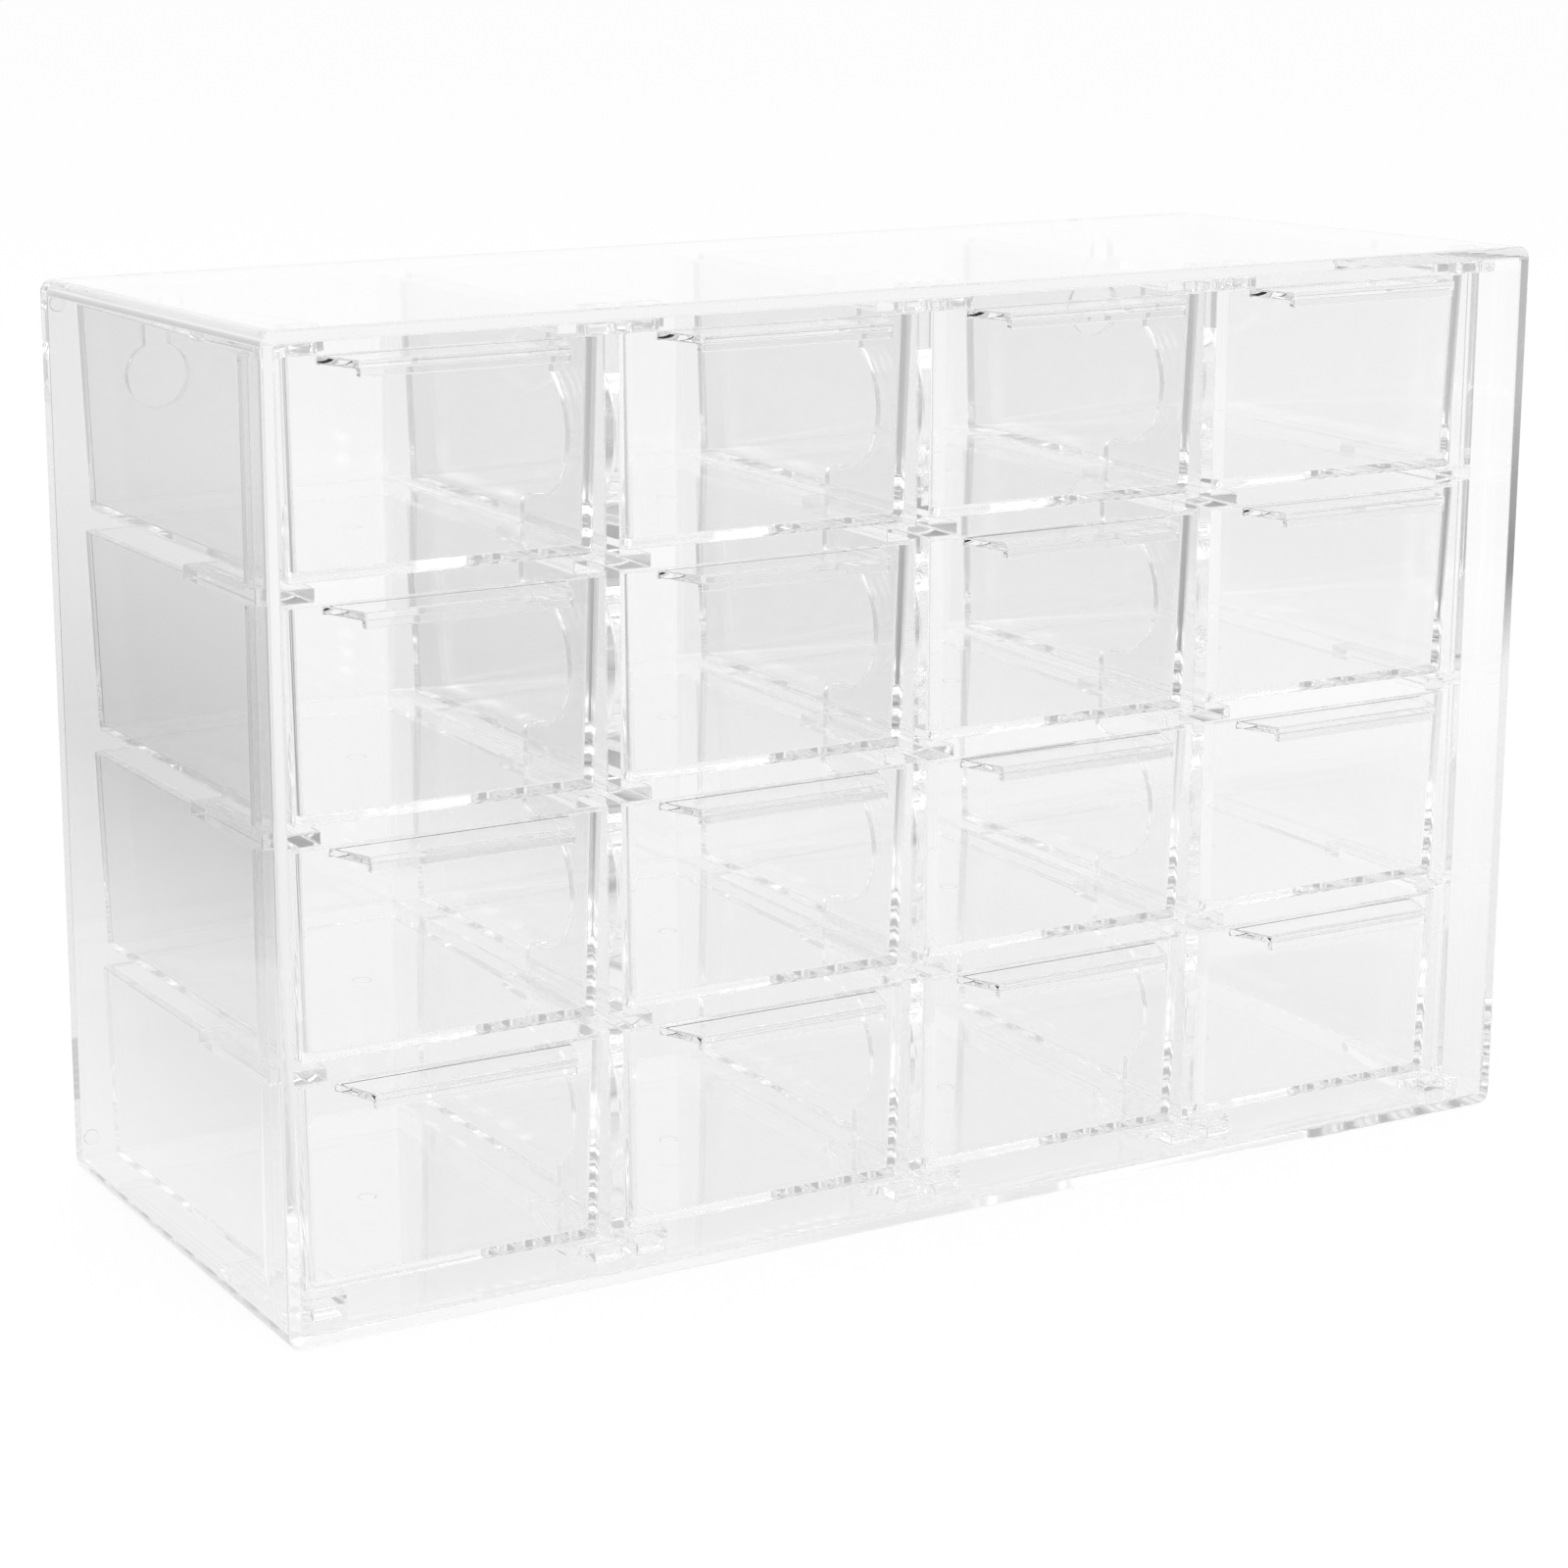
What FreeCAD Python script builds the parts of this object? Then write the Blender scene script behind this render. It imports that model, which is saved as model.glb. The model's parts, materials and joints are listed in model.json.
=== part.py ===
import FreeCAD, Part
import math
import os
import re
import Sketcher
from FreeCAD import Vector

# A clear desk-top organizer for stamps and craft parts: a five-sided moulded case, a row of
# upright dividers and two side frames that carry ledges, and a grid of tapered pull-out drawers.
# Millimetres. X runs to the right, Y from the open front to the back, Z up. The origin is the
# centre of the footprint, on the surface that the case stands on.

doc = FreeCAD.newDocument("stamp_drawers")

SIZES = [
    # The drawers
    ("rows", 4),
    ("columns", 4),
    ("drawer_width", 59.2),
    ("drawer_height", 37.95),
    ("drawer_depth", 86.5),
    ("drawer_wall", 1.9),
    ("drawer_draft", 1.3),
    ("drawer_corner", 1.6),
    ("drawer_inside_corner", 0.8),
    ("drawer_foot_chamfer", 0.8),
    ("pull_reach", 9.0),
    ("pull_root_width", 45.6),
    ("pull_front_width", 38.6),
    ("pull_thickness", 1.5),
    ("pull_lip_depth", 2.9),
    ("pull_lip_thickness", 1.5),
    # The dividers, the side frames and their ledges
    ("rib_thickness", 3.0),
    ("rib_depth", 30.5),
    ("ledge_thickness", 2.6),
    ("ledge_reach", 7.6),
    ("end_ledge_thickness", 2.0),
    ("end_ledge_reach", 10.3),
    ("end_ledge_tip_reach", 6.3),
    ("end_ledge_square_depth", 8.0),
    ("end_ledge_depth", 24.0),
    ("end_rib_depth", 19.0),
    ("notch_height", 24.4),
    ("notch_depth", 17.5),
    ("lobe_radius", 2.4),
    ("post_depth", 4.5),
    # The case
    ("case_wall", 2.4),
    ("case_draft", 1.3),
    ("case_edge_radius", 2.5),
    ("case_inside_radius", 0.6),
    ("case_back_radius", 1.0),
    ("keyhole_diameter", 12.0),
    ("keyhole_neck_width", 4.8),
    ("keyhole_neck_rise", 10.4),
    ("keyhole_inset", 27.0),
    ("keyhole_drop", 21.3),
    # The lugs that hold the tongues of the dividers
    ("lug_width", 5.4),
    ("tongue_reach", 4.5),
    # Fits and clearances
    ("pull_setback", 1.0),
    ("rear_gap", 7.1),
    ("side_gap", 0.6),
    ("rest_gap", 0.35),
    ("lift_gap", 0.55),
    ("wall_gap", 0.38),
    ("floor_gap", 0.1),
    ("roof_gap", 0.23),
    ("tongue_gap", 0.15),
    ("lug_gap", 0.3),
]

sheet = doc.addObject("Spreadsheet::Sheet", "Sizes")
for line, (alias, value) in enumerate(SIZES, start=1):
    sheet.set(f"A{line}", alias)
    sheet.set(f"B{line}", str(value))
    sheet.setAlias(f"B{line}", alias)
doc.recompute()


def size(formula):
    """Write a formula of size names as an expression on the sheet."""
    names = [alias for alias, value in SIZES]
    return re.sub(r"[a-z_]+", lambda m: f"Sizes.{m[0]}" if m[0] in names else m[0], formula)


ROWS = int(sheet.get("rows"))
COLUMNS = int(sheet.get("columns"))

# Formulas that several pieces share
COLUMN_PITCH = "( drawer_width + 2 * side_gap + rib_thickness )"
ROW_OPENING = "( rest_gap + drawer_height + lift_gap )"
ROW_PITCH = f"( {ROW_OPENING} + ledge_thickness )"
FRONT_RECESS = "( pull_reach + pull_setback )"
WALL_LEAN = f"( ( {FRONT_RECESS} + rib_depth ) * tan(case_draft) )"
ROOF_LEAN = f"( ( {FRONT_RECESS} + end_ledge_depth ) * tan(case_draft) )"
RIB_ROW_WIDTH = f"( columns * {COLUMN_PITCH} + rib_thickness )"
RIB_HEIGHT = f"( 2 * end_ledge_thickness + rows * {ROW_PITCH} - ledge_thickness )"
CASE_WIDTH = f"( {RIB_ROW_WIDTH} + 2 * ( wall_gap + {WALL_LEAN} + case_wall ) )"
CASE_HEIGHT = f"( 2 * case_wall + floor_gap + {RIB_HEIGHT} + roof_gap + {ROOF_LEAN} )"
CASE_DEPTH = f"( {FRONT_RECESS} + drawer_depth + rear_gap + case_wall )"
CASE_FRONT = f"( {CASE_DEPTH} / 2 )"
RIB_FRONT = f"( {FRONT_RECESS} - {CASE_FRONT} )"
RIB_BOTTOM = "( case_wall + floor_gap )"
RIB_TOP = f"( {RIB_BOTTOM} + {RIB_HEIGHT} )"
FIRST_OPENING = f"( {RIB_BOTTOM} + end_ledge_thickness )"
NOTCH_RADIUS = "( notch_height / 2 )"
DRAFT_SHIFT = f"( {CASE_DEPTH} * tan(case_draft) )"

# How near a point has to be to count as on a face or an edge
TOUCH = 0.01


def new_body(name):
    body = doc.addObject("PartDesign::Body", name)
    body.Label = name
    return body


def origin_feature(body, role):
    return next(f for f in body.Origin.OriginFeatures if f.Role == role)


def new_sketch(body, name, plane, offset=None):
    """A sketch on one of the body's own origin planes, set off along the plane's normal."""
    sketch = body.newObject("Sketcher::SketchObject", name)
    sketch.AttachmentSupport = [(origin_feature(body, plane), "")]
    sketch.MapMode = "FlatFace"
    if offset:
        sketch.setExpression("AttachmentOffset.Base.z", size(offset))
    doc.recompute()
    return sketch


def place_point(sketch, geometry, point, across, up):
    """Tie one point of a sketch to the sketch's origin by two formulas."""
    for kind, formula in (("DistanceX", across), ("DistanceY", up)):
        value = sketch.evalExpression(size(formula))
        index = sketch.addConstraint(
            Sketcher.Constraint(kind, -1, 1, geometry, point, float(value))
        )
        sketch.setExpression(f"Constraints[{index}]", size(formula))


def polygon(sketch, corners):
    """A closed outline of straight lines through corners that are pairs of formulas."""
    points = []
    for across, up in corners:
        x = float(sketch.evalExpression(size(across)))
        y = float(sketch.evalExpression(size(up)))
        points.append(Vector(x, y, 0))
    first = sketch.GeometryCount
    count = len(points)
    for i in range(count):
        sketch.addGeometry(Part.LineSegment(points[i], points[(i + 1) % count]), False)
    for i in range(count):
        following = first + (i + 1) % count
        sketch.addConstraint(Sketcher.Constraint("Coincident", first + i, 2, following, 1))
    for i, (across, up) in enumerate(corners):
        place_point(sketch, first + i, 1, across, up)


def rectangle(sketch, left, right, bottom, top):
    polygon(sketch, [(left, bottom), (right, bottom), (right, top), (left, top)])


def circle(sketch, across, up, radius):
    x = float(sketch.evalExpression(size(across)))
    y = float(sketch.evalExpression(size(up)))
    r = float(sketch.evalExpression(size(radius)))
    index = sketch.addGeometry(Part.Circle(Vector(x, y, 0), Vector(0, 0, 1), r), False)
    place_point(sketch, index, 3, across, up)
    ring = sketch.addConstraint(Sketcher.Constraint("Radius", index, r))
    sketch.setExpression(f"Constraints[{ring}]", size(radius))


def pad(body, sketch, name, length, reversed_=False, midplane=False):
    feature = body.newObject("PartDesign::Pad", name)
    feature.Profile = sketch
    feature.setExpression("Length", size(length))
    feature.Reversed = reversed_
    feature.Midplane = midplane
    doc.recompute()
    return feature


def pocket(body, sketch, name, length, reversed_=False, midplane=False):
    """A pocket, which must take something away from the solid before it."""
    before = body.Shape.Volume
    feature = body.newObject("PartDesign::Pocket", name)
    feature.Profile = sketch
    feature.setExpression("Length", size(length))
    feature.Reversed = reversed_
    feature.Midplane = midplane
    doc.recompute()
    if feature.Shape.Volume >= before:
        raise RuntimeError(f"{name} takes nothing away")
    return feature


def linear_pattern(body, features, name, axis, length, count):
    """Repeat features along an origin axis; a single one needs no pattern."""
    if count == 1:
        return features[-1]
    pattern = body.newObject("PartDesign::LinearPattern", name)
    pattern.Originals = features
    pattern.Direction = (origin_feature(body, axis), [""])
    pattern.setExpression("Length", size(length))
    pattern.Occurrences = count
    body.Tip = pattern
    doc.recompute()
    return pattern


def edge_names(feature, wanted):
    names = [f"Edge{i}" for i, edge in enumerate(feature.Shape.Edges, start=1) if wanted(edge)]
    if not names:
        raise RuntimeError(f"{feature.Name} has no such edges")
    return names


def fillet(body, base, name, edges, radius):
    feature = body.newObject("PartDesign::Fillet", name)
    feature.Base = (base, edge_names(base, edges))
    feature.setExpression("Radius", size(radius))
    doc.recompute()
    return feature


def face_name(shape, direction):
    """The name of the flat face that looks most nearly in a direction, the outermost one."""
    best = None
    for i, face in enumerate(shape.Faces, start=1):
        normal = face.normalAt(0.5, 0.5)
        if normal.dot(direction) < 0.99:
            continue
        reach = face.CenterOfMass.dot(direction)
        if best is None or reach > best[0]:
            best = (reach, f"Face{i}")
    return best[1]


def runs_along(edge, direction):
    chord = edge.Vertexes[-1].Point - edge.Vertexes[0].Point
    return chord.Length > 0 and abs(chord.normalize().dot(direction)) > 0.99


def value_of(formula):
    return float(sheet.evalExpression(size(formula)))


def at_back(edge):
    return edge.BoundBox.YMin > value_of(CASE_FRONT) - TOUCH


def long_outer(edge):
    return runs_along(edge, Vector(0, 1, 0)) and edge.BoundBox.YMax > value_of(CASE_FRONT) - TOUCH


def long_inner(edge):
    return runs_along(edge, Vector(0, 1, 0)) and edge.BoundBox.YMax < value_of(CASE_FRONT) - TOUCH


def drafted_block(body):
    """The outside of the case: both sides and the roof draw in towards the back."""
    plan = new_sketch(body, "case_plan", "XY_Plane")
    half = f"{CASE_WIDTH} / 2"
    polygon(plan, [
        (f"- {half}", f"- {CASE_FRONT}"),
        (half, f"- {CASE_FRONT}"),
        (f"{half} - {DRAFT_SHIFT}", CASE_FRONT),
        (f"{DRAFT_SHIFT} - {half}", CASE_FRONT),
    ])
    pad(body, plan, "case_block", CASE_HEIGHT)
    slope = new_sketch(body, "roof_slope", "YZ_Plane")
    past_back = f"( {CASE_FRONT} + case_wall )"
    above_roof = f"( {CASE_HEIGHT} + case_wall )"
    polygon(slope, [
        (f"- {CASE_FRONT}", CASE_HEIGHT),
        (past_back, f"{CASE_HEIGHT} - {DRAFT_SHIFT} - case_wall * tan(case_draft)"),
        (past_back, above_roof),
        (f"- {CASE_FRONT}", above_roof),
    ])
    return pocket(body, slope, "roof_draft", f"2 * {CASE_WIDTH}", midplane=True)


def shell_from(body, block, name, direction, wall):
    """Hollow a block, leaving the face that looks in a direction open."""
    shell = body.newObject("PartDesign::Thickness", name)
    shell.Base = (block, [face_name(block.Shape, direction)])
    shell.setExpression("Value", size(wall))
    shell.Reversed = True
    shell.Mode = 0
    shell.Join = 1
    doc.recompute()
    return shell


def hollow_case(body, block):
    """Shell the block from its front and round its long edges and its back."""
    shell = shell_from(body, block, "case_shell", Vector(0, -1, 0), "case_wall")
    outside = fillet(body, shell, "case_long_edges", long_outer, "case_edge_radius")
    inside = fillet(body, outside, "case_inside_edges", long_inner, "case_inside_radius")
    return fillet(body, inside, "case_back_edges", at_back, "case_back_radius")


def keyhole_outline(sketch, across, up):
    """A round hole whose neck rises to a half-round end, as one closed outline."""
    x = float(sketch.evalExpression(size(across)))
    z = float(sketch.evalExpression(size(up)))
    hole = value_of("keyhole_diameter / 2")
    neck = value_of("keyhole_neck_width / 2")
    rise = value_of("keyhole_neck_rise")
    mouth = math.sqrt(hole ** 2 - neck ** 2)
    opening = math.asin(neck / hole)
    up_axis = Vector(0, 0, 1)
    ring = Part.Circle(Vector(x, z, 0), up_axis, hole)
    end = Part.Circle(Vector(x, z + rise, 0), up_axis, neck)
    start_angle = math.pi / 2 + opening
    end_angle = 5 * math.pi / 2 - opening
    round_hole = sketch.addGeometry(Part.ArcOfCircle(ring, start_angle, end_angle), False)
    right = sketch.addGeometry(
        Part.LineSegment(Vector(x + neck, z + mouth, 0), Vector(x + neck, z + rise, 0)), False
    )
    round_end = sketch.addGeometry(Part.ArcOfCircle(end, 0, math.pi), False)
    left = sketch.addGeometry(
        Part.LineSegment(Vector(x - neck, z + rise, 0), Vector(x - neck, z + mouth, 0)), False
    )
    loop = [round_hole, right, round_end, left]
    for piece, following in zip(loop, loop[1:] + loop[:1]):
        sketch.addConstraint(Sketcher.Constraint("Coincident", piece, 2, following, 1))
    sketch.addConstraint(Sketcher.Constraint("Vertical", right))
    sketch.addConstraint(Sketcher.Constraint("Vertical", left))
    sketch.addConstraint(Sketcher.Constraint("Horizontal", round_end, 1, round_end, 3))
    sketch.addConstraint(Sketcher.Constraint("Horizontal", round_end, 2, round_end, 3))
    for arc, radius in ((round_hole, "keyhole_diameter / 2"), (round_end, "keyhole_neck_width / 2")):
        index = sketch.addConstraint(Sketcher.Constraint("Radius", arc, value_of(radius)))
        sketch.setExpression(f"Constraints[{index}]", size(radius))
    place_point(sketch, round_hole, 3, across, up)
    place_point(sketch, round_end, 3, across, f"{up} + keyhole_neck_rise")


def cut_keyholes(body):
    """Two keyholes through the back, to hang the case from screws."""
    sketch = new_sketch(body, "keyholes_outline", "XZ_Plane", f"- {CASE_FRONT}")
    place = f"{CASE_WIDTH} / 2 - keyhole_inset"
    height = f"{CASE_HEIGHT} - keyhole_drop"
    keyhole_outline(sketch, place, height)
    keyhole_outline(sketch, f"- ( {place} )", height)
    return pocket(body, sketch, "keyholes", "4 * case_wall", midplane=True)


def add_lugs(body):
    """Small lugs on the floor and roof of each column, which hold the tongues between them."""
    lugs = new_sketch(body, "lugs_outline", "XZ_Plane", f"tongue_reach - {RIB_FRONT}")
    first_rib = f"( - columns * {COLUMN_PITCH} / 2 )"
    beside = "( rib_thickness / 2 + tongue_gap )"
    levels = (
        ("case_wall / 2", FIRST_OPENING),
        (f"{RIB_TOP} - end_ledge_thickness", f"{CASE_HEIGHT} - case_wall / 2"),
    )
    for low, high in levels:
        near = f"{first_rib} + {beside}"
        rectangle(lugs, near, f"{near} + lug_width", low, high)
        far = f"{first_rib} + {COLUMN_PITCH} - {beside}"
        rectangle(lugs, f"{far} - lug_width", far, low, high)
    block = pad(body, lugs, "lugs", "tongue_reach - lug_gap", reversed_=True)
    span = f"( columns - 1 ) * {COLUMN_PITCH}"
    return linear_pattern(body, [block], "lug_row", "X_Axis", span, COLUMNS)


def build_case():
    body = new_body("outer_case")
    hollow_case(body, drafted_block(body))
    cut_keyholes(body)
    add_lugs(body)
    return body


def rib_place(body, number):
    """Stand a rib, counted from the left, on the line between two columns."""
    body.setExpression(
        "Placement.Base.x", size(f"( {number} - columns / 2 ) * {COLUMN_PITCH}")
    )


def divider_plate(body):
    """The upright sheet, with a tongue at each end and its rear foot and head cut short."""
    outline = new_sketch(body, "plate_outline", "YZ_Plane")
    rear = f"( {RIB_FRONT} + rib_depth )"
    end_rear = f"( {RIB_FRONT} + end_rib_depth )"
    tongue = f"( {RIB_FRONT} - tongue_reach )"
    foot = f"( {FIRST_OPENING} + {ROW_OPENING} / 2 )"
    head = f"( {foot} + ( rows - 1 ) * {ROW_PITCH} )"
    polygon(outline, [
        (tongue, RIB_BOTTOM),
        (end_rear, RIB_BOTTOM),
        (end_rear, foot),
        (rear, foot),
        (rear, head),
        (end_rear, head),
        (end_rear, RIB_TOP),
        (tongue, RIB_TOP),
        (tongue, f"{RIB_TOP} - end_ledge_thickness"),
        (RIB_FRONT, f"{RIB_TOP} - end_ledge_thickness"),
        (RIB_FRONT, f"{RIB_BOTTOM} + end_ledge_thickness"),
        (tongue, f"{RIB_BOTTOM} + end_ledge_thickness"),
    ])
    return pad(body, outline, "plate", "rib_thickness", midplane=True)


def divider_notches(body):
    """A round-ended notch open to the rear in each row, so that the sheet keeps lobes only
    beside its ledges."""
    middle = f"( {FIRST_OPENING} + {ROW_OPENING} / 2 )"
    rear = f"( {RIB_FRONT} + rib_depth )"
    centre = f"( {rear} - notch_depth + {NOTCH_RADIUS} )"
    round_end = new_sketch(body, "notch_end_outline", "YZ_Plane")
    circle(round_end, centre, middle, NOTCH_RADIUS)
    end_cut = pocket(body, round_end, "notch_end", "2 * rib_thickness", midplane=True)
    mouth = new_sketch(body, "notch_mouth_outline", "YZ_Plane")
    past_rear = f"( {rear} + rib_thickness )"
    low = f"{middle} - {NOTCH_RADIUS}"
    rectangle(mouth, centre, past_rear, low, f"{middle} + {NOTCH_RADIUS}")
    mouth_cut = pocket(body, mouth, "notch_mouth", "2 * rib_thickness", midplane=True)
    span = f"( rows - 1 ) * {ROW_PITCH}"
    return linear_pattern(body, [end_cut, mouth_cut], "notches", "Z_Axis", span, ROWS)


def round_lobes(body, notched):
    """Round the rear corners of the lobes, where each notch opens."""
    rear = value_of(f"{RIB_FRONT} + rib_depth")
    end_rear = value_of(f"{RIB_FRONT} + end_rib_depth")
    edge_levels = []
    for row in range(ROWS):
        middle = value_of(f"{FIRST_OPENING} + {ROW_OPENING} / 2 + {row} * {ROW_PITCH}")
        edge_levels.append(middle - value_of(NOTCH_RADIUS))
        edge_levels.append(middle + value_of(NOTCH_RADIUS))

    def lobe_corner(edge):
        if not runs_along(edge, Vector(1, 0, 0)):
            return False
        point = edge.Vertexes[0].Point
        at_edge = min(abs(point.y - rear), abs(point.y - end_rear)) < TOUCH
        return at_edge and min(abs(point.z - level) for level in edge_levels) < TOUCH

    return fillet(body, notched, "lobes", lobe_corner, "lobe_radius")


def row_ledges(body, left, right):
    """The flat ledges between the rows, which carry the drawers above them."""
    if ROWS == 1:
        return
    outline = new_sketch(body, "ledge_outline", "XZ_Plane", f"- {RIB_FRONT}")
    low = f"( {FIRST_OPENING} + {ROW_OPENING} )"
    rectangle(outline, left, right, low, f"{low} + ledge_thickness")
    first = pad(body, outline, "ledge", "rib_depth", reversed_=True)
    span = f"( rows - 2 ) * {ROW_PITCH}"
    linear_pattern(body, [first], "ledges", "Z_Axis", span, ROWS - 1)


def end_ledge(body, name, level, left_side, right_side):
    """The wide ledge at the foot or head of a rib, with its rear corners cut on the slant."""
    outline = new_sketch(body, f"{name}_outline", "XY_Plane", level)
    square = f"( {RIB_FRONT} + end_ledge_square_depth )"
    rear = f"( {RIB_FRONT} + end_ledge_depth )"
    corners = [(left_side[0], RIB_FRONT), (right_side[0], RIB_FRONT)]
    if right_side[1] != right_side[0]:
        corners.append((right_side[0], square))
    corners.append((right_side[1], rear))
    corners.append((left_side[1], rear))
    if left_side[1] != left_side[0]:
        corners.append((left_side[0], square))
    polygon(outline, corners)
    return pad(body, outline, name, "end_ledge_thickness")


def end_ledges(body, left_side, right_side):
    end_ledge(body, "foot_ledge", RIB_BOTTOM, left_side, right_side)
    end_ledge(body, "head_ledge", f"{RIB_TOP} - end_ledge_thickness", left_side, right_side)


def build_divider(number, name):
    body = new_body(name)
    divider_plate(body)
    round_lobes(body, divider_notches(body))
    row_ledges(body, "- ledge_reach", "ledge_reach")
    end_ledges(
        body,
        ("- end_ledge_reach", "- end_ledge_tip_reach"),
        ("end_ledge_reach", "end_ledge_tip_reach"),
    )
    rib_place(body, number)
    return body


def build_side_frame(number, name, inward):
    """A shallow post beside a side wall, with ledges on its inner side only."""
    body = new_body(name)
    outline = new_sketch(body, "post_outline", "YZ_Plane")
    rear = f"( {RIB_FRONT} + post_depth )"
    tongue = f"( {RIB_FRONT} - tongue_reach )"
    polygon(outline, [
        (tongue, RIB_BOTTOM),
        (rear, RIB_BOTTOM),
        (rear, RIB_TOP),
        (tongue, RIB_TOP),
        (tongue, f"{RIB_TOP} - end_ledge_thickness"),
        (RIB_FRONT, f"{RIB_TOP} - end_ledge_thickness"),
        (RIB_FRONT, f"{RIB_BOTTOM} + end_ledge_thickness"),
        (tongue, f"{RIB_BOTTOM} + end_ledge_thickness"),
    ])
    pad(body, outline, "post", "rib_thickness", midplane=True)
    half = "rib_thickness / 2"
    if inward > 0:
        row_ledges(body, f"- {half}", "ledge_reach")
        end_ledges(
            body, (f"- {half}", f"- {half}"), ("end_ledge_reach", "end_ledge_tip_reach")
        )
    else:
        row_ledges(body, "- ledge_reach", half)
        end_ledges(
            body, ("- end_ledge_reach", "- end_ledge_tip_reach"), (half, half)
        )
    rib_place(body, number)
    return body


def drawer_block(body):
    """The outside of the tray: all four sides draw in towards its floor."""
    half = "( drawer_width / 2 )"
    shift = "( drawer_height * tan(drawer_draft) )"
    front_view = new_sketch(body, "tray_front_view", "XZ_Plane")
    polygon(front_view, [
        (f"- {half}", "drawer_height"),
        (f"{shift} - {half}", "0"),
        (f"{half} - {shift}", "0"),
        (half, "drawer_height"),
    ])
    pad(body, front_view, "tray_block", "drawer_depth", reversed_=True)
    slopes = new_sketch(body, "end_slopes", "YZ_Plane")
    below = "( - drawer_wall )"
    slope_foot = f"( {shift} + drawer_wall * tan(drawer_draft) )"
    polygon(slopes, [
        ("0", "drawer_height"),
        (below, "drawer_height"),
        (below, below),
        (slope_foot, below),
    ])
    polygon(slopes, [
        ("drawer_depth", "drawer_height"),
        (f"drawer_depth - {slope_foot}", below),
        (f"drawer_depth - {below}", below),
        (f"drawer_depth - {below}", "drawer_height"),
    ])
    return pocket(body, slopes, "end_drafts", "2 * drawer_width", midplane=True)


def drawer_shell(body):
    """The tray hollowed from above, its corners rounded and the edge of its foot cut back."""
    tray = shell_from(body, drawer_block(body), "tray_shell", Vector(0, 0, 1), "drawer_wall")
    wall = value_of("drawer_wall")
    depth = value_of("drawer_depth")

    def outside_corner(edge):
        box = edge.BoundBox
        at_an_end = box.YMin < wall - TOUCH or box.YMax > depth - wall + TOUCH
        return runs_along(edge, Vector(0, 0, 1)) and at_an_end

    def inside_corner(edge):
        return runs_along(edge, Vector(0, 0, 1)) and edge.BoundBox.ZMin > wall - TOUCH

    def foot_edge(edge):
        return edge.BoundBox.ZMax < TOUCH

    chamfer = body.newObject("PartDesign::Chamfer", "foot_chamfer")
    chamfer.Base = (tray, edge_names(tray, foot_edge))
    chamfer.setExpression("Size", size("drawer_foot_chamfer"))
    doc.recompute()
    rounded = fillet(body, chamfer, "outside_corners", outside_corner, "drawer_corner")
    fillet(body, rounded, "inside_corners", inside_corner, "drawer_inside_corner")


def drawer_pull(body):
    """The ledge in front of the drawer, with slanted ends and a lip turned down at its front."""
    outline = new_sketch(body, "pull_outline", "XY_Plane", "drawer_height")
    root = "( pull_root_width / 2 )"
    tip = "( pull_front_width / 2 )"
    polygon(outline, [
        (f"- {tip}", "- pull_reach"),
        (tip, "- pull_reach"),
        (root, "0"),
        (root, "drawer_wall / 2"),
        (f"- {root}", "drawer_wall / 2"),
        (f"- {root}", "0"),
    ])
    pad(body, outline, "pull", "pull_thickness", reversed_=True)
    lip = new_sketch(body, "pull_lip_outline", "XY_Plane", "drawer_height")
    rectangle(lip, f"- {tip}", tip, "- pull_reach", "pull_lip_thickness - pull_reach")
    return pad(body, lip, "pull_lip", "pull_lip_depth", reversed_=True)


def build_drawer(row, column):
    """A drawer, counted from the top row and from the left column."""
    body = new_body(f"drawer_r{row}_c{column}")
    drawer_shell(body)
    drawer_pull(body)
    across = f"( {column} - ( columns + 1 ) / 2 ) * {COLUMN_PITCH}"
    level = f"{FIRST_OPENING} + rest_gap + ( rows - {row} ) * {ROW_PITCH}"
    body.setExpression("Placement.Base.x", size(across))
    body.setExpression("Placement.Base.y", size(RIB_FRONT))
    body.setExpression("Placement.Base.z", size(level))
    return body


def build_all():
    bodies = [build_case()]
    bodies.append(build_side_frame(0, "side_frame_left", 1))
    for number in range(1, COLUMNS):
        bodies.append(build_divider(number, f"divider_{number}"))
    bodies.append(build_side_frame(COLUMNS, "side_frame_right", -1))
    for row in range(1, ROWS + 1):
        for column in range(1, COLUMNS + 1):
            bodies.append(build_drawer(row, column))
    doc.recompute()
    return bodies


def check_and_write(bodies):
    for item in doc.Objects:
        if "Invalid" in item.State or "Error" in item.State:
            raise RuntimeError(f"{item.Name} failed: {item.State}")
    for body in bodies:
        if body.Shape.isNull() or not body.Shape.isValid() or len(body.Shape.Solids) != 1:
            raise RuntimeError(f"{body.Label} is not one valid solid")
    os.makedirs("parts", exist_ok=True)
    for body in bodies:
        body.Shape.exportStep(os.path.join("parts", f"{body.Label}.step"))


check_and_write(build_all())
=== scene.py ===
import json
import math

import bmesh
import bpy
from bpy.props import FloatProperty, FloatVectorProperty, IntProperty, PointerProperty
from mathutils import Matrix, Quaternion, Vector


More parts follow.
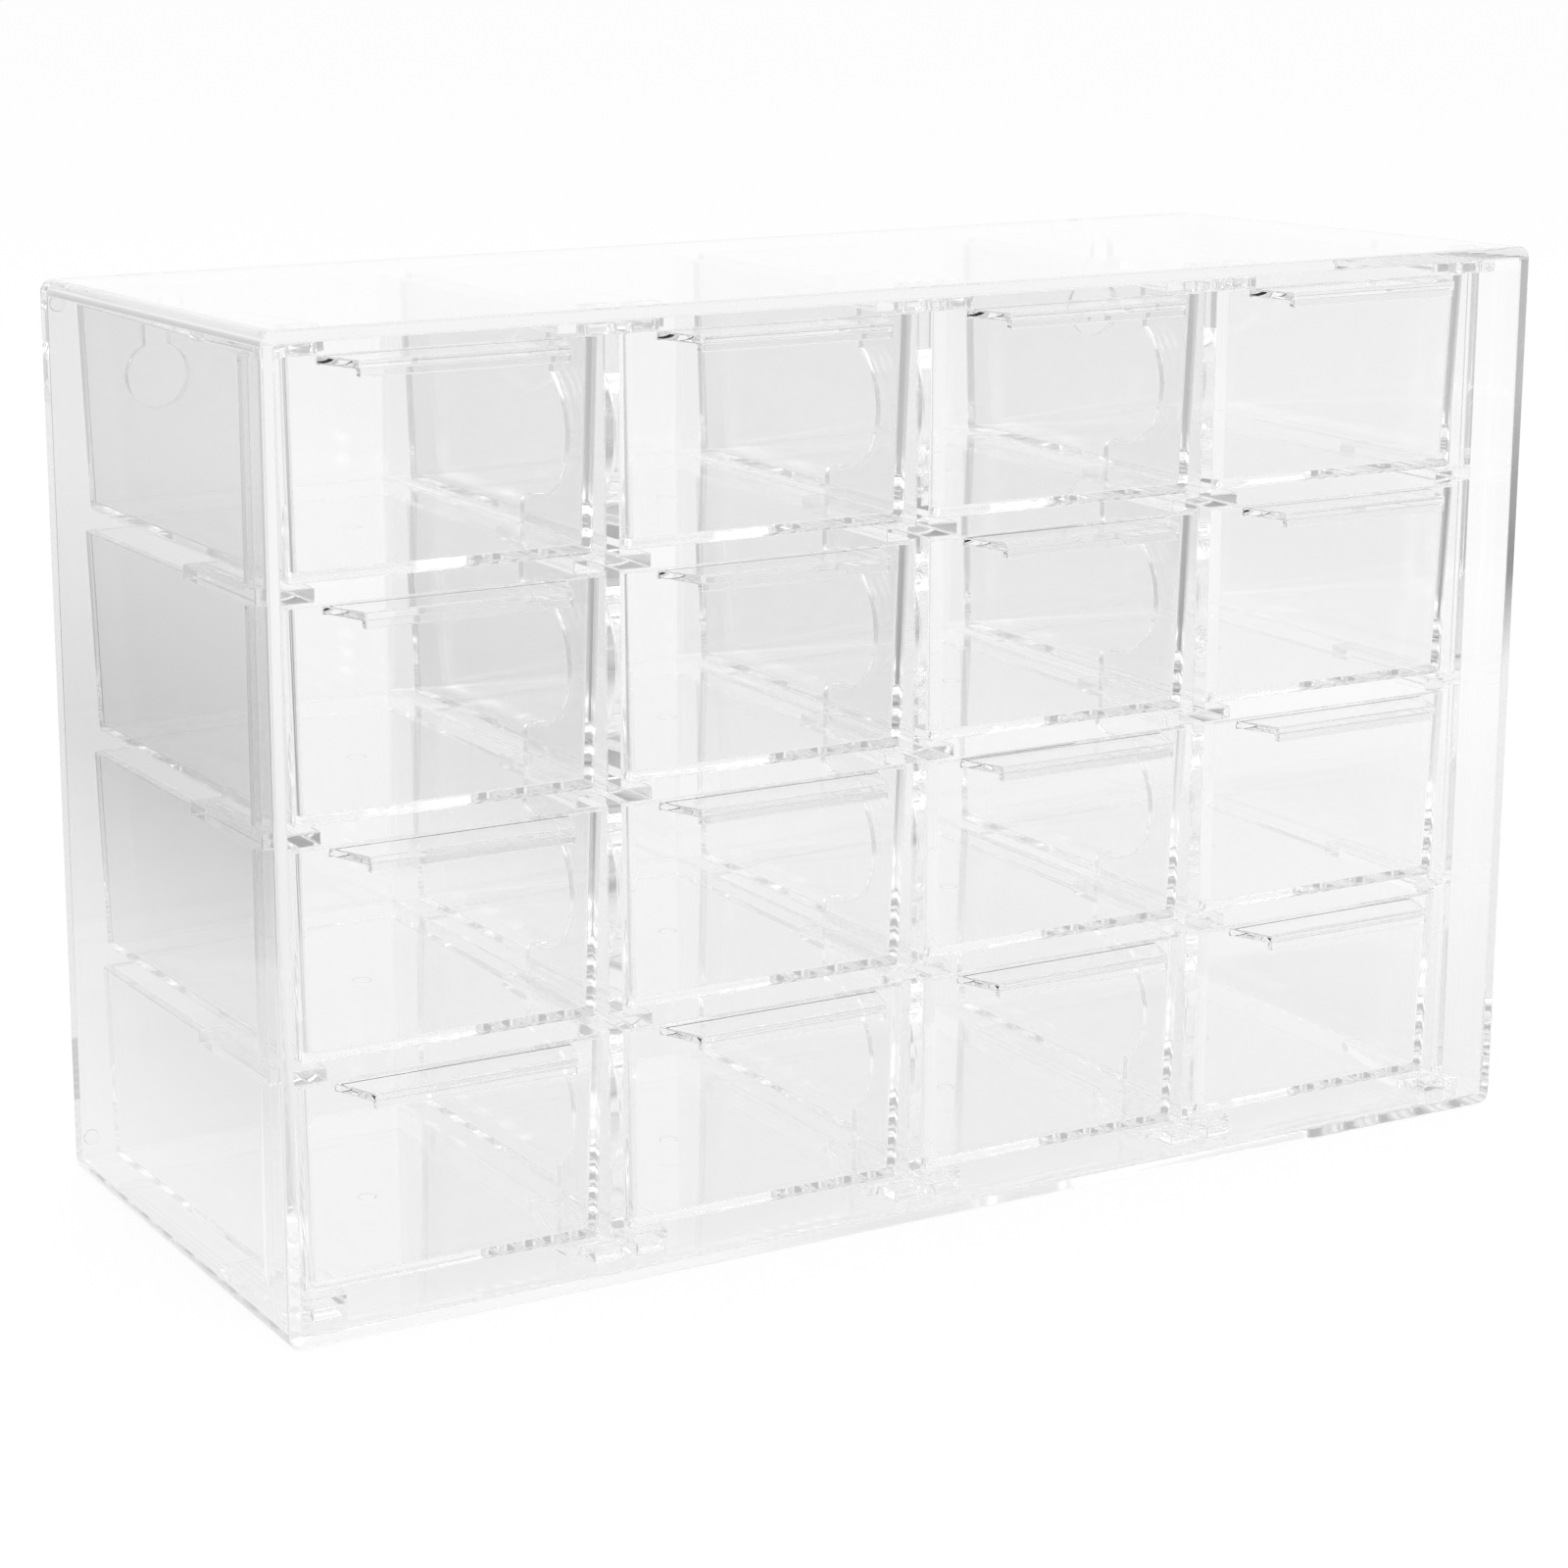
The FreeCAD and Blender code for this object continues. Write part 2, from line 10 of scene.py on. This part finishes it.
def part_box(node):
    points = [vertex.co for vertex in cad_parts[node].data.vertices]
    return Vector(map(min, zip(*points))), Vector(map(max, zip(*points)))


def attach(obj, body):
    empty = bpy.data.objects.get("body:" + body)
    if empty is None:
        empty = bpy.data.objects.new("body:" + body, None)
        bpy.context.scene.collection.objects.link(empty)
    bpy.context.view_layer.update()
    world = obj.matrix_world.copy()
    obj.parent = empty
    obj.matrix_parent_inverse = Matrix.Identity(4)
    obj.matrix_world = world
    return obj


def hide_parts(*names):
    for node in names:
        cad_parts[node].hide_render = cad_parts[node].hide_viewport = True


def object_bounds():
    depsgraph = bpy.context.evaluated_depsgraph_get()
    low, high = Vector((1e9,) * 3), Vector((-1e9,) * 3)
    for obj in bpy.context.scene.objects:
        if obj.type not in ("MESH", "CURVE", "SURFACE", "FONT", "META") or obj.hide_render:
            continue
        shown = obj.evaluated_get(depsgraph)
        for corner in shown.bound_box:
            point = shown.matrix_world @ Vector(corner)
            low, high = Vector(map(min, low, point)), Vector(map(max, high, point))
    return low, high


bl_info = {
    "name": "Stamp drawer set",
    "version": (1, 0, 0),
    "blender": (4, 5, 0),
    "location": "View3D > Sidebar > Stamp drawers",
    "description": "Dresses a clear desk-top drawer set with finished mouldings and a studio",
    "category": "Add Mesh",
}

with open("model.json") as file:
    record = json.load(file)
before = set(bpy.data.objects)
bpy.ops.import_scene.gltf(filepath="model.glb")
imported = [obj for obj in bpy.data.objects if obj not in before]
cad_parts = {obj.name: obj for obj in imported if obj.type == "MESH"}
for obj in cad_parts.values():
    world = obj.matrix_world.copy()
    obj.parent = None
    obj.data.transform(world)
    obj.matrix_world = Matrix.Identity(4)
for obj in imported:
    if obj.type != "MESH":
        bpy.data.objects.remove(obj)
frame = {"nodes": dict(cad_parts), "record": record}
CAD_LOW, CAD_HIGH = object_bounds()

CASE_NODE = "outer_case"
SIDE_FRAME_NODES = sorted(name for name in frame["nodes"] if name.startswith("side_frame"))
DIVIDER_NODES = sorted(name for name in frame["nodes"] if name.startswith("divider"))
DRAWER_NODES = sorted(name for name in frame["nodes"] if name.startswith("drawer"))

# Edges of a moulding that turn by more than this are rounded; flatter ones are its own curves.
SHARP_TURN = math.radians(25)
# Triangles of one flat face turn by less than this.
FLAT_TURN = math.radians(0.5)
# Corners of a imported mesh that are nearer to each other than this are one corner.
WELD = 1e-6
# The wall at the back of the case.
BACK_THICKNESS = 0.0024
# Round marks have this many sides and narrow to this share of their width at the top.
MARK_SIDES = 32
MARK_TAPER = 0.92
# The larger the flat faces of a moulding count, the flatter they are shaded.
FLAT_FACE_WEIGHT = 100


def body_of_node(node):
    """The moving body that carries a node."""
    for body, members in frame["record"]["behaviour"]["bodies"].items():
        if node in members:
            return body
    raise ValueError(f"no body carries {node}")


class PlasticFinish(bpy.types.PropertyGroup):
    """The clear plastic that every moulding is made of."""

    tint: FloatVectorProperty(
        name="Tint", description="Colour of light that has passed through the plastic",
        subtype="COLOR", size=3, min=0, max=1, default=(0.999, 0.999, 0.999),
    )
    bending: FloatProperty(
        name="Refractive index", description="How strongly the plastic bends light",
        min=1.3, max=1.8, default=1.59,
    )
    polish: FloatProperty(
        name="Roughness", description="Roughness of the most worn patches of the surface",
        subtype="FACTOR", min=0, max=1, default=0.03,
    )
    clearness: FloatProperty(
        name="Clearness", description="Share of light left after a metre of solid plastic",
        subtype="FACTOR", min=0.001, max=1, default=0.6,
    )
    ripple_height: FloatProperty(
        name="Ripple height", description="Height of the flow ripples left by moulding",
        subtype="DISTANCE", unit="LENGTH", min=0, default=0.000008,
    )
    ripple_size: FloatProperty(
        name="Ripple size", description="Distance from one flow ripple to the next",
        subtype="DISTANCE", unit="LENGTH", min=0.001, default=0.03,
    )


class MouldingSizes(bpy.types.PropertyGroup):
    """Small forms that moulding leaves on the pieces."""

    case_rounding: FloatProperty(
        name="Case edge", description="Radius of the case's rim, lugs and keyholes",
        subtype="DISTANCE", unit="LENGTH", min=0, default=0.0004,
    )
    rib_rounding: FloatProperty(
        name="Rib edge", description="Radius of the edges of dividers and side frames",
        subtype="DISTANCE", unit="LENGTH", min=0, default=0.0003,
    )
    drawer_rounding: FloatProperty(
        name="Drawer edge", description="Radius of the drawer's rim, foot and pull",
        subtype="DISTANCE", unit="LENGTH", min=0, default=0.0003,
    )
    rounding_steps: IntProperty(
        name="Edge steps", description="How many faces run round each rounded edge",
        min=1, max=6, default=2,
    )
    gate_mark: FloatProperty(
        name="Gate mark", description="Diameter of the round mark under each drawer's floor",
        subtype="DISTANCE", unit="LENGTH", min=0, default=0.0034,
    )
    pin_mark: FloatProperty(
        name="Pin mark", description="Diameter of the ejector marks on the back of the case",
        subtype="DISTANCE", unit="LENGTH", min=0, default=0.003,
    )
    pin_inset: FloatProperty(
        name="Pin inset", description="Distance of the ejector marks from the case's outer faces",
        subtype="DISTANCE", unit="LENGTH", min=0, default=0.0068,
    )
    mark_height: FloatProperty(
        name="Mark height", description="How far the round marks stand out",
        subtype="DISTANCE", unit="LENGTH", min=0, default=0.00015,
    )


class StudioSettings(bpy.types.PropertyGroup):
    """The room, the paper floor and the lamps."""

    paper: FloatVectorProperty(
        name="Paper", description="Colour of the floor where lamps light it",
        subtype="COLOR", size=3, min=0, max=1, default=(0.9, 0.9, 0.9),
    )
    # Paper lift is the share of glow, which also carries the painted shade below into the gloss
    # and the clear pieces; camera rays see it plain white.
    paper_glow: FloatProperty(
        name="Paper lift", description="How much of the floor shows as plain white",
        subtype="FACTOR", min=0, max=1, default=0.85,
    )
    dark_side: FloatProperty(
        name="Dark side", description="Brightness of the room beyond the paper, as the plastic "
        "shows it", subtype="FACTOR", min=0, max=1, default=0.5,
    )
    front_side: FloatProperty(
        name="Front side", description="Brightness of the room opposite, as the plastic shows it",
        subtype="FACTOR", min=0, max=1, default=0.6,
    )
    # From paper edge to table bright: the floor's glow, which only the gloss and the clear pieces
    # show, is painted shade near, left of and in front of the drawer set, and a painted reflection
    # of a darker table beyond the paper's edge.
    paper_edge: FloatProperty(
        name="Paper edge", description="Distance from the drawer set's middle to the paper's edge",
        subtype="DISTANCE", unit="LENGTH", min=0, default=0.265,
    )
    paper_side: FloatProperty(
        name="Paper side", description="Distance from the middle to where the shaded paper starts",
        subtype="DISTANCE", unit="LENGTH", min=0, default=0.14,
    )
    left_shade: FloatProperty(
        name="Left shade", description="Brightness of the paper to the left of the drawer set, "
        "as the plastic shows it", subtype="FACTOR", min=0, max=1, default=0.53,
    )
    front_shade: FloatProperty(
        name="Front shade", description="Brightness of the paper in front of the drawer set, "
        "as the plastic shows it", subtype="FACTOR", min=0, max=1, default=0.6,
    )
    front_start: FloatProperty(
        name="Front start", description="Distance from the middle at which the front shade starts",
        subtype="DISTANCE", unit="LENGTH", min=0, default=0.13,
    )
    front_reach: FloatProperty(
        name="Front reach", description="Distance from the middle at which it is darkest",
        subtype="DISTANCE", unit="LENGTH", min=0, default=0.25,
    )
    near_shade: FloatProperty(
        name="Near shade", description="Brightness of the paper under the drawer set, as the "
        "plastic shows it", subtype="FACTOR", min=0, max=1, default=0.88,
    )
    shade_reach: FloatProperty(
        name="Shade reach", description="Distance from the middle at which the paper is white",
        subtype="DISTANCE", unit="LENGTH", min=0, default=0.6,
    )
    table: FloatProperty(
        name="Table", description="Brightness of the table beyond the paper, as the plastic "
        "shows it", subtype="FACTOR", min=0, max=1, default=0.11,
    )
    far_table: FloatProperty(
        name="Far table", description="Brightness of the far table, as the plastic shows it",
        subtype="FACTOR", min=0, max=1, default=0.42,
    )
    table_dark: FloatProperty(
        name="Table dark", description="Distance from the middle up to which the table is darkest",
        subtype="DISTANCE", unit="LENGTH", min=0, default=0.5,
    )
    table_bright: FloatProperty(
        name="Table bright", description="Distance from the middle from which the table is palest",
        subtype="DISTANCE", unit="LENGTH", min=0, default=0.9,
    )
    lamp_power: FloatProperty(
        name="Lamp power", description="Power of the overhead soft box",
        subtype="POWER", unit="POWER", min=0, default=12,
    )
    lens: FloatProperty(
        name="Lens", description="Focal length of the camera", subtype="DISTANCE_CAMERA",
        min=1, default=89.43,
    )


class DrawerSetSettings(bpy.types.PropertyGroup):
    """Everything that can be set on the drawer set."""

    plastic: PointerProperty(type=PlasticFinish, name="Plastic")
    moulding: PointerProperty(type=MouldingSizes, name="Moulding")
    studio: PointerProperty(type=StudioSettings, name="Studio")


def add_node(tree, kind, **values):
    """A shader node whose named inputs are set to plain values."""
    node = tree.nodes.new(kind)
    for name, value in values.items():
        node.inputs[name.replace("_", " ")].default_value = value
    return node


def add_maths(tree, operation, first, second):
    """A Math node of two inputs, each a socket or a number."""
    node = tree.nodes.new("ShaderNodeMath")
    node.operation = operation
    for socket, value in zip(node.inputs, (first, second)):
        if isinstance(value, bpy.types.NodeSocket):
            tree.links.new(value, socket)
        else:
            socket.default_value = value
    return node.outputs[0]


def add_fade(tree, value, start, end, first, last):
    """A number that goes from first to last while a socket's value goes from start to end."""
    node = add_node(
        tree, "ShaderNodeMapRange", From_Min=start, From_Max=end, To_Min=first, To_Max=last
    )
    tree.links.new(value, node.inputs["Value"])
    return node.outputs["Result"]


def show_blend(tree, share, first, second):
    """Put a blend of two shaders on the material's surface; the share is the second one's."""
    mix = tree.nodes.new("ShaderNodeMixShader")
    tree.links.new(share, mix.inputs["Fac"])
    tree.links.new(first, mix.inputs[1])
    tree.links.new(second, mix.inputs[2])
    tree.links.new(mix.outputs["Shader"], tree.nodes["Material Output"].inputs["Surface"])


# A ray that has met this many surfaces goes straight on, so that none stays shut in a wall.
MOST_BENDS = 30
# The share of a lamp's light that each surface keeps from the floor.
SHADE_OF_SURFACE = 0.05
# Worn patches: how many to a metre, how finely they break up, and the noise levels between
# which the surface goes from polished to worn.
WEAR_SCALE = 90
WEAR_DETAIL = 4
WEAR_LEVELS = (0.35, 0.7)
# How much smoother the polished patches are than the worn ones.
WEAR_RATIO = 3


def clear_plastic(name, finish):
    """Clear polystyrene: polished, with slight ripples from the flow of the melt."""
    material = bpy.data.materials.new(name)
    material.use_nodes = True
    tree = material.node_tree
    surface = tree.nodes["Principled BSDF"]
    surface.inputs["Base Color"].default_value = (*finish.tint, 1)
    surface.inputs["IOR"].default_value = finish.bending
    surface.inputs["Transmission Weight"].default_value = 1
    place = tree.nodes.new("ShaderNodeTexCoord")
    ripples = add_node(tree, "ShaderNodeTexNoise", Scale=1 / finish.ripple_size, Detail=1)
    tree.links.new(place.outputs["Object"], ripples.inputs["Vector"])
    bump = add_node(tree, "ShaderNodeBump", Distance=finish.ripple_height)
    tree.links.new(ripples.outputs["Fac"], bump.inputs["Height"])
    tree.links.new(bump.outputs["Normal"], surface.inputs["Normal"])
    wear = add_node(tree, "ShaderNodeTexNoise", Scale=WEAR_SCALE, Detail=WEAR_DETAIL)
    tree.links.new(place.outputs["Object"], wear.inputs["Vector"])
    polished = finish.polish / WEAR_RATIO
    haze = add_fade(tree, wear.outputs["Fac"], *WEAR_LEVELS, polished, finish.polish)
    tree.links.new(haze, surface.inputs["Roughness"])
    depth = add_node(
        tree, "ShaderNodeVolumeAbsorption", Color=(0, 0, 0, 1),
        Density=-math.log(finish.clearness),
    )
    tree.links.new(depth.outputs["Volume"], tree.nodes["Material Output"].inputs["Volume"])
    path = tree.nodes.new("ShaderNodeLightPath")
    straight = add_maths(tree, "GREATER_THAN", path.outputs["Ray Depth"], MOST_BENDS)
    straight = add_maths(tree, "MAXIMUM", path.outputs["Is Shadow Ray"], straight)
    open_air = tree.nodes.new("ShaderNodeBsdfTransparent")
    shade = add_maths(tree, "MULTIPLY", path.outputs["Is Shadow Ray"], SHADE_OF_SURFACE)
    tree.links.new(add_maths(tree, "SUBTRACT", 1, shade), open_air.inputs["Color"])
    show_blend(tree, straight, surface.outputs["BSDF"], open_air.outputs["BSDF"])
    return material


def moulding_shape(node, rounding, steps):
    """The form of a node as one welded mesh, its sharp edges rounded."""
    shape = bmesh.new()
    shape.from_mesh(frame["nodes"][node].data)
    bmesh.ops.remove_doubles(shape, verts=shape.verts, dist=WELD)
    bmesh.ops.dissolve_limit(shape, angle_limit=FLAT_TURN, verts=shape.verts, edges=shape.edges)
    sharp = [edge for edge in shape.edges if edge.calc_face_angle() > SHARP_TURN]
    bmesh.ops.bevel(
        shape, geom=sharp, offset=rounding, offset_type="OFFSET", segments=steps,
        profile=0.5, affect="EDGES", clamp_overlap=False, material=-1,
    )
    return shape


def add_round_mark(shape, centre, direction, diameter, height):
    """A flat round nub whose base is sunk a little into the face that it stands on."""
    sink = height / 2
    spin = Vector(direction).to_track_quat("Z", "Y").to_matrix().to_4x4()
    middle = Vector(centre) + Vector(direction) * (height - sink) / 2
    bmesh.ops.create_cone(
        shape, cap_ends=True, cap_tris=False, segments=MARK_SIDES, radius1=diameter / 2,
        radius2=diameter / 2 * MARK_TAPER, depth=height + sink,
        matrix=Matrix.Translation(middle) @ spin,
    )


def finish_piece(shape, node, name, material):
    """Turn a shape into the finished piece that stands for a node and moves with its body."""
    for face in shape.faces:
        face.smooth = True
    mesh = bpy.data.meshes.new(name)
    shape.to_mesh(mesh)
    shape.free()
    mesh.materials.append(material)
    piece = bpy.data.objects.new(name, mesh)
    bpy.context.scene.collection.objects.link(piece)
    even = piece.modifiers.new("even_faces", "WEIGHTED_NORMAL")
    even.mode = "FACE_AREA"
    even.weight = FLAT_FACE_WEIGHT
    even.keep_sharp = True
    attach(piece, body_of_node(node))
    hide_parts(node)


class MakeCase(bpy.types.Operator):
    """Make the outer case: one clear moulding, open at the front"""

    bl_idname = "stamp_drawers.make_case"
    bl_label = "Make case"

    def execute(self, context):
        chosen = context.scene.stamp_drawers
        sizes = chosen.moulding
        material = clear_plastic("clear_case", chosen.plastic)
        shape = moulding_shape(CASE_NODE, sizes.case_rounding, sizes.rounding_steps)
        low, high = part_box(CASE_NODE)
        inside = high.y - BACK_THICKNESS
        for across in (low.x + sizes.pin_inset, high.x - sizes.pin_inset):
            for up in (low.z + sizes.pin_inset, high.z - sizes.pin_inset):
                add_round_mark(
                    shape, (across, inside, up), (0, -1, 0), sizes.pin_mark, sizes.mark_height
                )
        finish_piece(shape, CASE_NODE, "case_moulding", material)
        return {"FINISHED"}


class MakeSideFrames(bpy.types.Operator):
    """Make the two side frames, whose ledges carry the outer columns"""

    bl_idname = "stamp_drawers.make_side_frames"
    bl_label = "Make side frames"

    def execute(self, context):
        chosen = context.scene.stamp_drawers
        sizes = chosen.moulding
        material = clear_plastic("clear_side_frame", chosen.plastic)
        for node in SIDE_FRAME_NODES:
            shape = moulding_shape(node, sizes.rib_rounding, sizes.rounding_steps)
            finish_piece(shape, node, f"{node}_moulding", material)
        return {"FINISHED"}


class MakeDividers(bpy.types.Operator):
    """Make the upright dividers, with their ledges and scalloped rear edges"""

    bl_idname = "stamp_drawers.make_dividers"
    bl_label = "Make dividers"

    def execute(self, context):
        chosen = context.scene.stamp_drawers
        sizes = chosen.moulding
        material = clear_plastic("clear_divider", chosen.plastic)
        for node in DIVIDER_NODES:
            shape = moulding_shape(node, sizes.rib_rounding, sizes.rounding_steps)
            finish_piece(shape, node, f"{node}_moulding", material)
        return {"FINISHED"}


class MakeDrawers(bpy.types.Operator):
    """Make the pull-out drawers, each a tapered tray with a ledge for a pull"""

    bl_idname = "stamp_drawers.make_drawers"
    bl_label = "Make drawers"

    def execute(self, context):
        chosen = context.scene.stamp_drawers
        sizes = chosen.moulding
        material = clear_plastic("clear_drawer", chosen.plastic)
        for node in DRAWER_NODES:
            low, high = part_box(node)
            shape = moulding_shape(node, sizes.drawer_rounding, sizes.rounding_steps)
            gate = ((low.x + high.x) / 2, (low.y + high.y) / 2, low.z)
            add_round_mark(shape, gate, (0, 0, -1), sizes.gate_mark, sizes.mark_height)
            finish_piece(shape, node, f"{node}_moulding", material)
        return {"FINISHED"}


# The paper's painted edge and painted shade lie on this side of the drawer set, and the room
# behind it is dark there.
DARK_WAY = (-0.7071, 0.7071, 0.0)
# Where, from straight opposite (0) to straight into the dark (1), the room changes.
ROOM_STEPS = (0.05, 0.3, 0.75, 0.95)
# How softly the painted paper edge and the painted shade at its side fade out.
EDGE_BLUR = 0.02
SIDE_BLUR = 0.12
PAPER_ROUGHNESS = 0.9
CAMERA_PLACE = (-0.3775, -0.6241, 0.2518)
CAMERA_AHEAD = (0.4994, 0.8325, -0.24)
CAMERA_ROLL = 0.0037
SENSOR_WIDTH = 36
LAMP_PLACE = (-0.3, -0.5, 1.6)
LAMP_WIDTH = 1.4
FLOOR_WIDTH = 12
FLOOR_DROP = 0.0003
LIGHT_BOUNCES = 40


def way_from_middle(tree, place):
    """How far a place or a direction lies towards the dark side."""
    way = tree.nodes.new("ShaderNodeVectorMath")
    way.operation = "DOT_PRODUCT"
    way.inputs[1].default_value = DARK_WAY
    tree.links.new(place, way.inputs[0])
    return way.outputs["Value"]


def brightness_in_plastic(tree, studio):
    """How bright each place of the floor looks in the gloss and through the clear pieces: painted
    shade under, left of and in front of the drawer set, and a painted reflection of a darker
    table.
    """
    place = tree.nodes.new("ShaderNodeTexCoord").outputs["Object"]
    axes = tree.nodes.new("ShaderNodeSeparateXYZ")
    tree.links.new(place, axes.inputs["Vector"])
    distance = tree.nodes.new("ShaderNodeVectorMath")
    distance.operation = "LENGTH"
    tree.links.new(place, distance.inputs[0])
    beyond = way_from_middle(tree, place)
    # Painted shade on the paper to the left of the drawer set, and beyond its edge a painted
    # darker table.
    left_paper = add_fade(
        tree, beyond, studio.paper_edge, studio.paper_edge + EDGE_BLUR,
        studio.left_shade, studio.table,
    )
    # The painted table grows paler far off.
    table = add_fade(
        tree, beyond, studio.table_dark, studio.table_bright, studio.table, studio.far_table
    )
    left = add_maths(tree, "MAXIMUM", left_paper, table)
    # Painted shade on the paper around the drawer set, fading to white further out.
    whiter = add_fade(
        tree, distance.outputs["Value"], studio.paper_side, studio.shade_reach,
        studio.near_shade, 1,
    )
    side = -studio.paper_side
    right = add_fade(tree, axes.outputs["X"], side - SIDE_BLUR, side, 0, 1)
    right = add_maths(tree, "MULTIPLY", right, whiter)
    behind = add_maths(tree, "GREATER_THAN", axes.outputs["Y"], CAD_LOW[1])
    back = add_maths(tree, "MULTIPLY", add_maths(tree, "MAXIMUM", left, right), behind)
    # Painted shade on the paper in front of the drawer set.
    front = add_fade(
        tree, axes.outputs["Y"], -studio.front_reach, -studio.front_start,
        studio.front_shade, 1,
    )
    front = add_maths(tree, "MULTIPLY", add_maths(tree, "SUBTRACT", 1, behind), front)
    return add_maths(tree, "MAXIMUM", back, front)


def paper_material(studio):
    """White paper whose glow paints shade around the drawer set and a darker table beyond its
    edge; only the gloss and the clear pieces show where it ends, and the camera sees plain white.
    """
    material = bpy.data.materials.new("studio_paper")
    material.use_nodes = True
    tree = material.node_tree
    surface = tree.nodes["Principled BSDF"]
    surface.inputs["Base Color"].default_value = (*studio.paper, 1)
    surface.inputs["Roughness"].default_value = PAPER_ROUGHNESS
    path = tree.nodes.new("ShaderNodeLightPath")
    camera = path.outputs["Is Camera Ray"]
    # Glow strength: the painted shade pattern for gloss and transmission rays, plain white for
    # camera rays.
    shown = add_maths(tree, "MAXIMUM", brightness_in_plastic(tree, studio), camera)
    glow = tree.nodes.new("ShaderNodeEmission")
    tree.links.new(shown, glow.inputs["Strength"])
    seen = add_maths(tree, "MAXIMUM", camera, path.outputs["Is Glossy Ray"])
    seen = add_maths(tree, "MAXIMUM", seen, path.outputs["Is Transmission Ray"])
    lift = add_maths(tree, "MULTIPLY", seen, studio.paper_glow)
    show_blend(tree, lift, surface.outputs["BSDF"], glow.outputs["Emission"])
    return material


def add_floor(studio):
    shape = bmesh.new()
    bmesh.ops.create_grid(shape, x_segments=1, y_segments=1, size=FLOOR_WIDTH / 2)
    bmesh.ops.translate(shape, verts=shape.verts, vec=(0, 0, -FLOOR_DROP))
    mesh = bpy.data.meshes.new("studio_floor")
    shape.to_mesh(mesh)
    shape.free()
    mesh.materials.append(paper_material(studio))
    floor = bpy.data.objects.new("studio_floor", mesh)
    bpy.context.scene.collection.objects.link(floor)


def light_room(studio):
    """A white room whose side walls look darker in the gloss and through the clear pieces."""
    room = bpy.data.worlds.new("studio_room")
    bpy.context.scene.world = room
    room.use_nodes = True
    tree = room.node_tree
    place = tree.nodes.new("ShaderNodeTexCoord")
    aim = way_from_middle(tree, place.outputs["Generated"])
    turn = add_fade(tree, aim, -1, 1, 0, 1)
    ramp = tree.nodes.new("ShaderNodeValToRGB")
    ramp.color_ramp.interpolation = "EASE"
    levels = (studio.front_side, 1, 1, studio.dark_side)
    steps = ramp.color_ramp.elements
    steps.new(ROOM_STEPS[1])
    steps.new(ROOM_STEPS[2])
    for step, position, level in zip(steps, ROOM_STEPS, levels):
        step.position = position
        step.color = (level, level, level, 1)
    tree.links.new(turn, ramp.inputs["Fac"])
    path = tree.nodes.new("ShaderNodeLightPath")
    plain = add_maths(tree, "SUBTRACT", 1, path.outputs["Is Glossy Ray"])
    shown = add_maths(tree, "MAXIMUM", ramp.outputs["Color"], plain)
    backdrop = tree.nodes["Background"]
    backdrop.inputs["Color"].default_value = (1, 1, 1, 1)
    tree.links.new(shown, backdrop.inputs["Strength"])


def add_lamp(studio):
    data = bpy.data.lights.new("soft_box", "AREA")
    data.energy = studio.lamp_power
    data.size = LAMP_WIDTH
    lamp = bpy.data.objects.new("soft_box", data)
    lamp.location = LAMP_PLACE
    lamp.rotation_mode = "QUATERNION"
    lamp.rotation_quaternion = (-Vector(LAMP_PLACE)).to_track_quat("-Z", "Y")
    bpy.context.scene.collection.objects.link(lamp)


def add_camera(studio):
    data = bpy.data.cameras.new("camera")
    data.sensor_width = SENSOR_WIDTH
    data.lens = studio.lens
    camera = bpy.data.objects.new("camera", data)
    camera.location = CAMERA_PLACE
    camera.rotation_mode = "QUATERNION"
    level = Vector(CAMERA_AHEAD).to_track_quat("-Z", "Y")
    camera.rotation_quaternion = level @ Quaternion((0, 0, 1), CAMERA_ROLL)
    bpy.context.scene.collection.objects.link(camera)
    bpy.context.scene.camera = camera


class SetStudio(bpy.types.Operator):
    """Set the floor, the room's light, the lamp and the camera"""

    bl_idname = "stamp_drawers.set_studio"
    bl_label = "Set studio"

    def execute(self, context):
        scene = context.scene
        scene.view_settings.view_transform = "Standard"
        scene.cycles.max_bounces = LIGHT_BOUNCES
        scene.cycles.glossy_bounces = LIGHT_BOUNCES
        scene.cycles.transmission_bounces = LIGHT_BOUNCES
        scene.cycles.transparent_max_bounces = LIGHT_BOUNCES
        studio = scene.stamp_drawers.studio
        add_floor(studio)
        light_room(studio)
        add_lamp(studio)
        add_camera(studio)
        return {"FINISHED"}


STEPS = (MakeCase, MakeSideFrames, MakeDividers, MakeDrawers, SetStudio)


class DrawerSetPanel(bpy.types.Panel):
    """Lists the settings and the steps of the drawer set"""

    bl_idname = "VIEW3D_PT_stamp_drawers"
    bl_label = "Stamp drawers"
    bl_space_type = "VIEW_3D"
    bl_region_type = "UI"
    bl_category = "Stamp drawers"

    def draw(self, context):
        chosen = context.scene.stamp_drawers
        for group in (chosen.plastic, chosen.moulding, chosen.studio):
            box = self.layout.box()
            for name in group.__annotations__:
                box.prop(group, name)
        for step in STEPS:
            self.layout.operator(step.bl_idname)


CLASSES = (PlasticFinish, MouldingSizes, StudioSettings, DrawerSetSettings, *STEPS, DrawerSetPanel)


def register():
    for item in CLASSES:
        bpy.utils.register_class(item)
    bpy.types.Scene.stamp_drawers = PointerProperty(type=DrawerSetSettings)


def unregister():
    del bpy.types.Scene.stamp_drawers
    for item in reversed(CLASSES):
        bpy.utils.unregister_class(item)


def main():
    register()
    bpy.ops.stamp_drawers.make_case()
    bpy.ops.stamp_drawers.make_side_frames()
    bpy.ops.stamp_drawers.make_dividers()
    bpy.ops.stamp_drawers.make_drawers()
    bpy.ops.stamp_drawers.set_studio()


if __name__ == "__main__":
    main()
